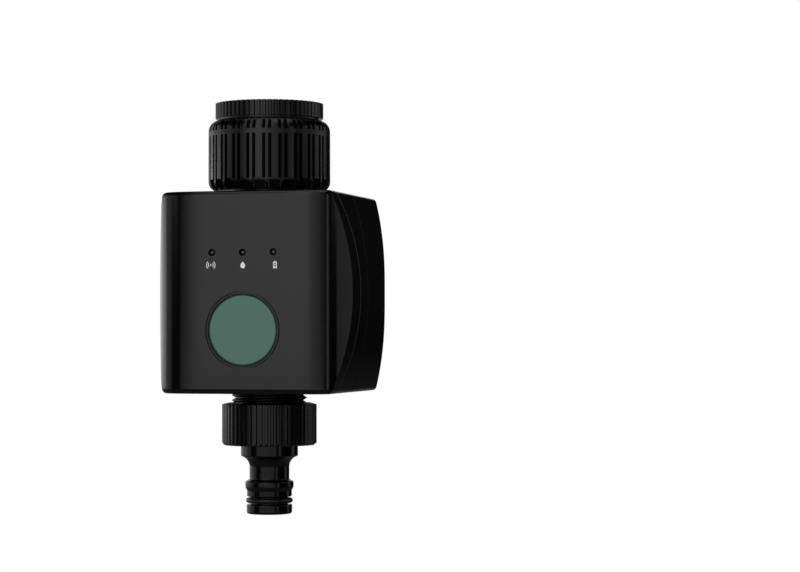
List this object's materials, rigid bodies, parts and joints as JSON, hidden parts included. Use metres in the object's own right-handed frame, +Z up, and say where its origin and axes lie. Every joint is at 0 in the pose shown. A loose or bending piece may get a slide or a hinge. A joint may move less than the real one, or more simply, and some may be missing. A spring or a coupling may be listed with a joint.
{
  "type": "smart irrigation timer",
  "caption": "Battery powered tap timer with a ribbed swivel inlet nut, a bowed box housing with a round button and status lights, a motor driven ball valve and a quick fit hose nipple.",
  "frame": {"origin": "centre of the inlet mouth, on the top face of the knurled adapter ring", "axes": "+Z up along the water path towards the tap, -Y to the front with the button, +X to the right seen from the front"},
  "size_m": [0.0702, 0.0644, 0.1443],
  "materials": {
    "housing": "satin black moulded plastic",
    "fittings": "satin black moulded plastic, a little glossier than the housing",
    "button": "fine matte grey green",
    "boot": "matte silicone",
    "seal": "matte rubber",
    "screw_steel": "zinc plated",
    "switch": "moulded",
    "plunger": "moulded",
    "lens": "grey translucent",
    "led": "clear resin on white",
    "board": "solder mask",
    "shield": "tinned shield can",
    "ball": "polished",
    "seat": "white fluoropolymer",
    "stem": "turned",
    "gear": "natural acetal",
    "brass": "turned",
    "gearhead": "stamped plates",
    "motor": "drawn can",
    "plate": "glass filled",
    "cell": "plain sleeve",
    "contact": "nickel plated",
    "strainer": "moulded mesh cup"
  },
  "bodies": {
    "housing": {"front_panel": "housing", "front_case": "housing", "rear_case": "housing", "front_seal": "seal", "rear_seal": "seal", "case_screws": "screw_steel", "board_screws": "screw_steel", "switch_body": "switch", "light_pipes": "lens", "status_leds": "led", "circuit_board": "board", "radio_module": "shield", "valve_body": "fittings", "valve_tail": "fittings", "ball_seats": "seat", "stem_seal": "seal", "idler_axle": "screw_steel", "motor_gearhead": "gearhead", "motor_can": "motor", "gear_plate": "plate", "plate_screws": "screw_steel", "batteries": "cell", "contact_springs": "contact", "contact_plates": "contact", "inlet_washer": "seal", "inlet_filter": "strainer"},
    "battery_door": {"battery_cover": "housing", "cover_gasket": "seal", "cover_screws": "screw_steel"},
    "swivel_nut": {"inlet_nut": "fittings"},
    "tap_adapter": {"thread_adapter": "fittings", "tap_washer": "seal"},
    "lower_nut": {"outlet_nut": "fittings"},
    "nipple": {"hose_nipple": "fittings", "nipple_seal": "seal", "outlet_washer": "seal"},
    "button": {"button_cap": "button", "button_boot": "boot"},
    "plunger": {"switch_plunger": "plunger"},
    "valve_rotor": {"valve_ball": "ball", "valve_stem": "stem", "sector_gear": "gear"},
    "idler": {"idler_gear": "gear"},
    "pinion": {"motor_pinion": "brass"}
  },
  "joints": [
    {"name": "swivel_nut_turn", "type": "hinge", "parent": "housing", "child": "swivel_nut", "pos_m": [0, 0, -0.0294], "axis": [0, 0, 1], "continuous": true},
    {"name": "tap_adapter_turn", "type": "hinge", "parent": "swivel_nut", "child": "tap_adapter", "pos_m": [0, 0, -0.012], "axis": [0, 0, 1], "continuous": true},
    {"name": "lower_nut_turn", "type": "hinge", "parent": "housing", "child": "lower_nut", "pos_m": [0, 0, -0.11], "axis": [0, 0, 1], "continuous": true},
    {"name": "nipple_turn", "type": "hinge", "parent": "lower_nut", "child": "nipple", "pos_m": [0, 0, -0.1185], "axis": [0, 0, 1], "continuous": true},
    {"name": "button_press", "type": "slide", "parent": "housing", "child": "button", "axis": [0, 1, 0], "range_m": [0, 0.0006], "stiffness_N_per_m": 1200, "springref_m": -0.0004},
    {"name": "plunger_press", "type": "slide", "parent": "housing", "child": "plunger", "axis": [0, 1, 0], "range_m": [0, 0.0006]},
    {"name": "cover_lift", "type": "slide", "parent": "housing", "child": "battery_door", "axis": [0, 1, 0], "range_m": [0, 0.02]},
    {"name": "valve_turn", "type": "hinge", "parent": "housing", "child": "valve_rotor", "pos_m": [0, 0, -0.0669], "axis": [0, -1, 0], "range_deg": [0, 90]},
    {"name": "idler_turn", "type": "hinge", "parent": "housing", "child": "idler", "pos_m": [0.01028, -0.017, -0.05464], "axis": [0, -1, 0], "range_deg": [-272, 2]},
    {"name": "pinion_turn", "type": "hinge", "parent": "housing", "child": "pinion", "pos_m": [0.02045, -0.017, -0.05553], "axis": [0, -1, 0], "range_deg": [-2, 650]}
  ],
  "couplings": [
    {"joint": "plunger_press", "follows": "button_press", "ratio": 1},
    {"joint": "idler_turn", "follows": "valve_turn", "ratio": -3},
    {"joint": "pinion_turn", "follows": "valve_turn", "ratio": 7.2}
  ]
}
